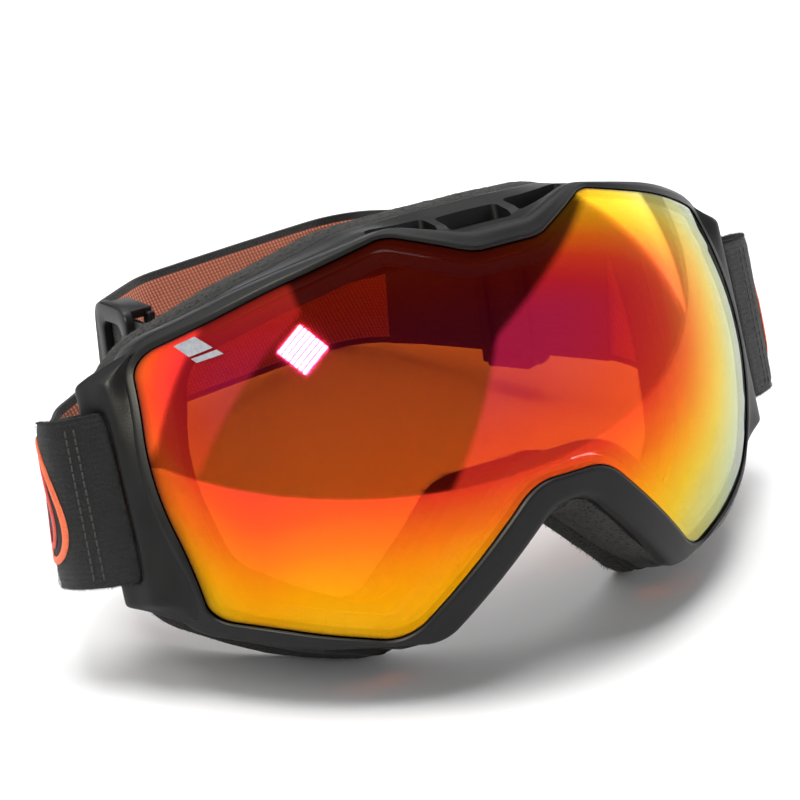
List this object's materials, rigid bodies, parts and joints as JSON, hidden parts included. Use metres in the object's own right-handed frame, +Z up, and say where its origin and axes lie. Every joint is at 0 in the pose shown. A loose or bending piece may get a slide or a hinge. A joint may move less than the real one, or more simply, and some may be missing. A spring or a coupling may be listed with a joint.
{
  "type": "ski goggles",
  "caption": "Ski goggles with a spherical mirrored double lens, vented frame, layered face foam and an elastic strap with slot loops and sliding adjusters.",
  "frame": {"origin": "on the resting surface, at the centre of the bounding box's underside", "axes": "+Z up, lens facing -Y with the frame leaning back, +X across the width"},
  "size_m": [0.2053, 0.1928, 0.1051],
  "materials": {
    "frame": "fine grained matte charcoal moulding",
    "lens": "red and orange mirror coating on a smoke lens",
    "inner_lens": "clear amber",
    "mark": "printed tag",
    "vent_foam": "open cell filter foam",
    "foam": "open cell face foam",
    "fleece": "brushed fleece",
    "strap": "knitted elastic webbing, brushed outside",
    "strap_lining": "diagonal knitted elastic",
    "embroidery": "satin stitch",
    "thread": "lockstitch thread",
    "slider": "satin black moulding"
  },
  "bodies": {
    "goggles": {"frame_shell": "frame", "outer_lens": "lens", "inner_lens": "inner_lens", "lens_spacer": "foam", "lens_mark": "mark", "brow_vent_foam": "vent_foam", "chin_vent_foam_left": "vent_foam", "chin_vent_foam_right": "vent_foam", "foam_base": "foam", "foam_core": "foam", "fleece_lining": "fleece", "strap_end_left": "strap", "strap_end_right": "strap", "end_stitching_left": "thread", "end_stitching_right": "thread"},
    "strap": {"strap_band": "strap", "strap_return_left": "strap_lining", "strap_return_right": "strap_lining", "embroidery_left": "embroidery", "embroidery_right": "embroidery"},
    "slider_left": {"slider_left": "slider"},
    "slider_right": {"slider_right": "slider"}
  },
  "joints": [
    {"name": "strap_swing", "type": "hinge", "parent": "goggles", "child": "strap", "pos_m": [0, -0.03962, 0.04722], "axis": [1, 0, 0], "range_deg": [-12, 20]},
    {"name": "slider_left_slide", "type": "slide", "parent": "strap", "child": "slider_left", "axis": [0, 0.9833, -0.1819], "range_m": [-0.005, 0.005]},
    {"name": "slider_right_slide", "type": "slide", "parent": "strap", "child": "slider_right", "axis": [0.3843, -0.9078, 0.1679], "range_m": [-0.02, 0.02]}
  ]
}
